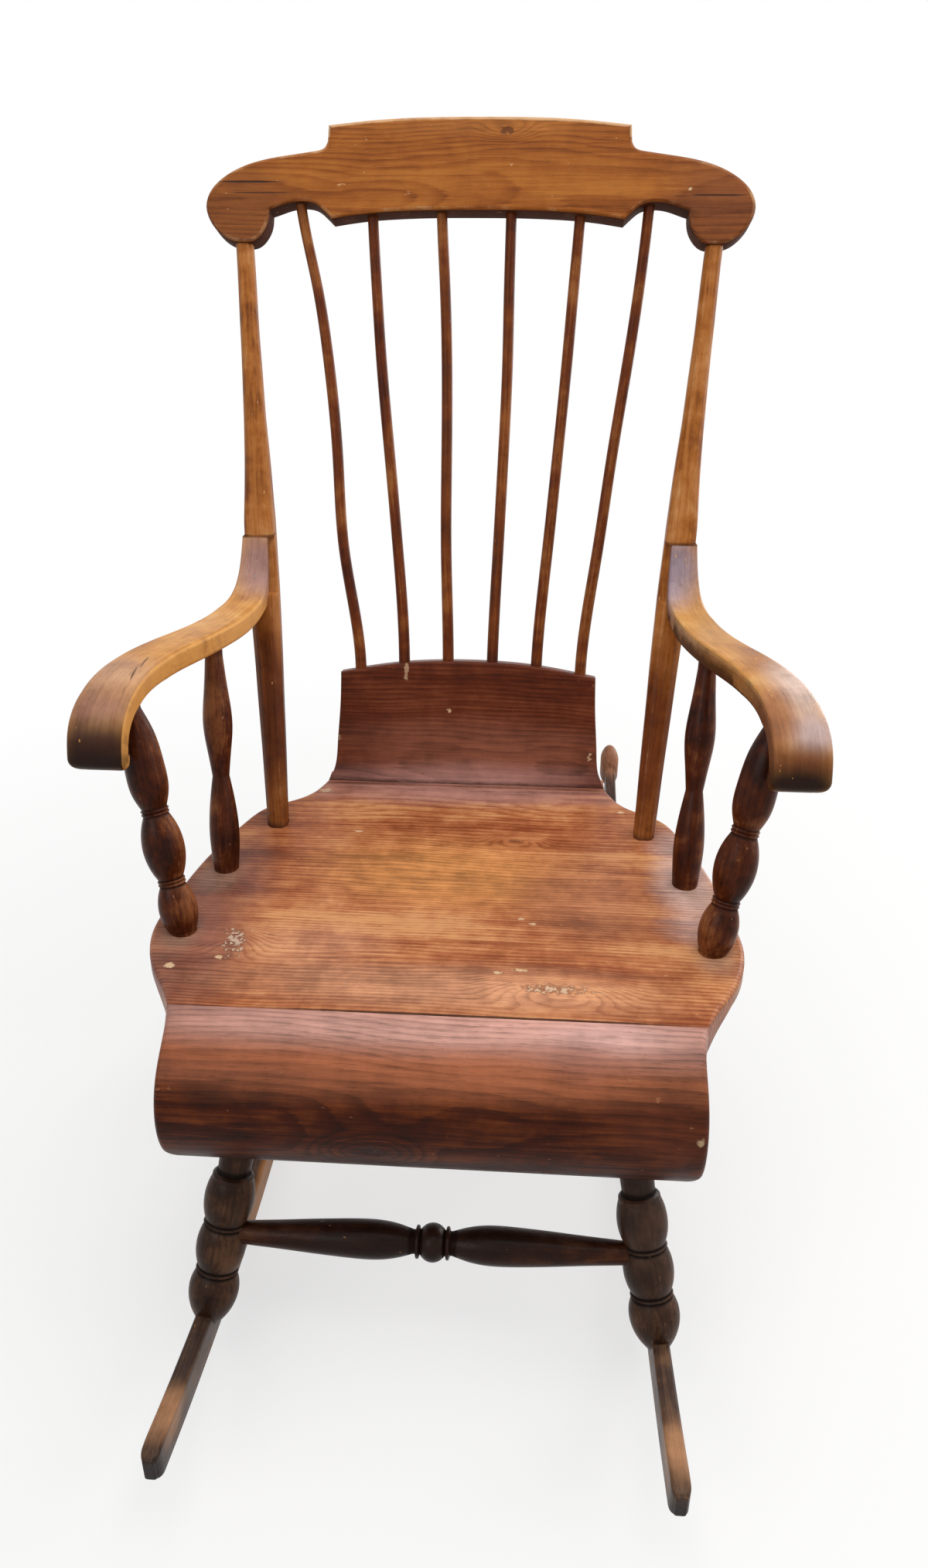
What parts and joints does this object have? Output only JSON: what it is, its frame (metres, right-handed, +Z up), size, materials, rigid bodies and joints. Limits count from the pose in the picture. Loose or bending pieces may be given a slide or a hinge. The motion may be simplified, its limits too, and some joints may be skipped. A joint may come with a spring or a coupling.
{
  "type": "rocking chair",
  "caption": "Wooden rocking chair with a shaped crest rail on two posts, slender back spindles, a plank seat with a rolled front, bent arms on turned spindles and long rockers.",
  "frame": {"origin": "on the floor under the middle of the chair's outer box", "axes": "+Z up, the chair's front faces -Y, +X towards the viewer's right seen from the front"},
  "size_m": [0.6606, 1.17, 1.0675],
  "materials": {
    "crest_wood": "worn satin varnish, golden brown",
    "post_wood": "worn satin varnish, golden brown",
    "back_spindle_wood": "worn satin varnish, dark red-brown",
    "arm_wood": "worn satin varnish, ochre with a grey sheen",
    "turned_wood": "worn satin varnish, dark brown",
    "seat_wood": "worn satin varnish over pine, red-brown",
    "riser_wood": "worn satin varnish over pine, dark red-brown",
    "roll_wood": "worn satin varnish over pine, orange-brown",
    "leg_wood": "worn satin varnish, dark grey-brown",
    "rocker_wood": "worn satin varnish, dark brown with tan wear",
    "pin_wood": "plain wood"
  },
  "bodies": {
    "root": {"arm_front_spindle_left": "turned_wood", "arm_front_spindle_right": "turned_wood", "arm_left": "arm_wood", "arm_pegs": "pin_wood", "arm_rear_spindle_left": "turned_wood", "arm_rear_spindle_right": "turned_wood", "arm_right": "arm_wood", "back_post_left": "post_wood", "back_post_right": "post_wood", "back_spindle_1": "back_spindle_wood", "back_spindle_2": "back_spindle_wood", "back_spindle_3": "back_spindle_wood", "back_spindle_4": "back_spindle_wood", "back_spindle_5": "back_spindle_wood", "back_spindle_6": "back_spindle_wood", "crest_rail": "crest_wood", "front_leg_left": "leg_wood", "front_leg_right": "leg_wood", "front_stretcher": "turned_wood", "leg_pins": "pin_wood", "rear_leg_left": "leg_wood", "rear_leg_right": "leg_wood", "rear_stretcher": "turned_wood", "rocker_left": "rocker_wood", "rocker_right": "rocker_wood", "seat_dowels": "pin_wood", "seat_front_roll": "roll_wood", "seat_plank": "seat_wood", "seat_rear_riser": "riser_wood"}
  },
  "joints": []
}
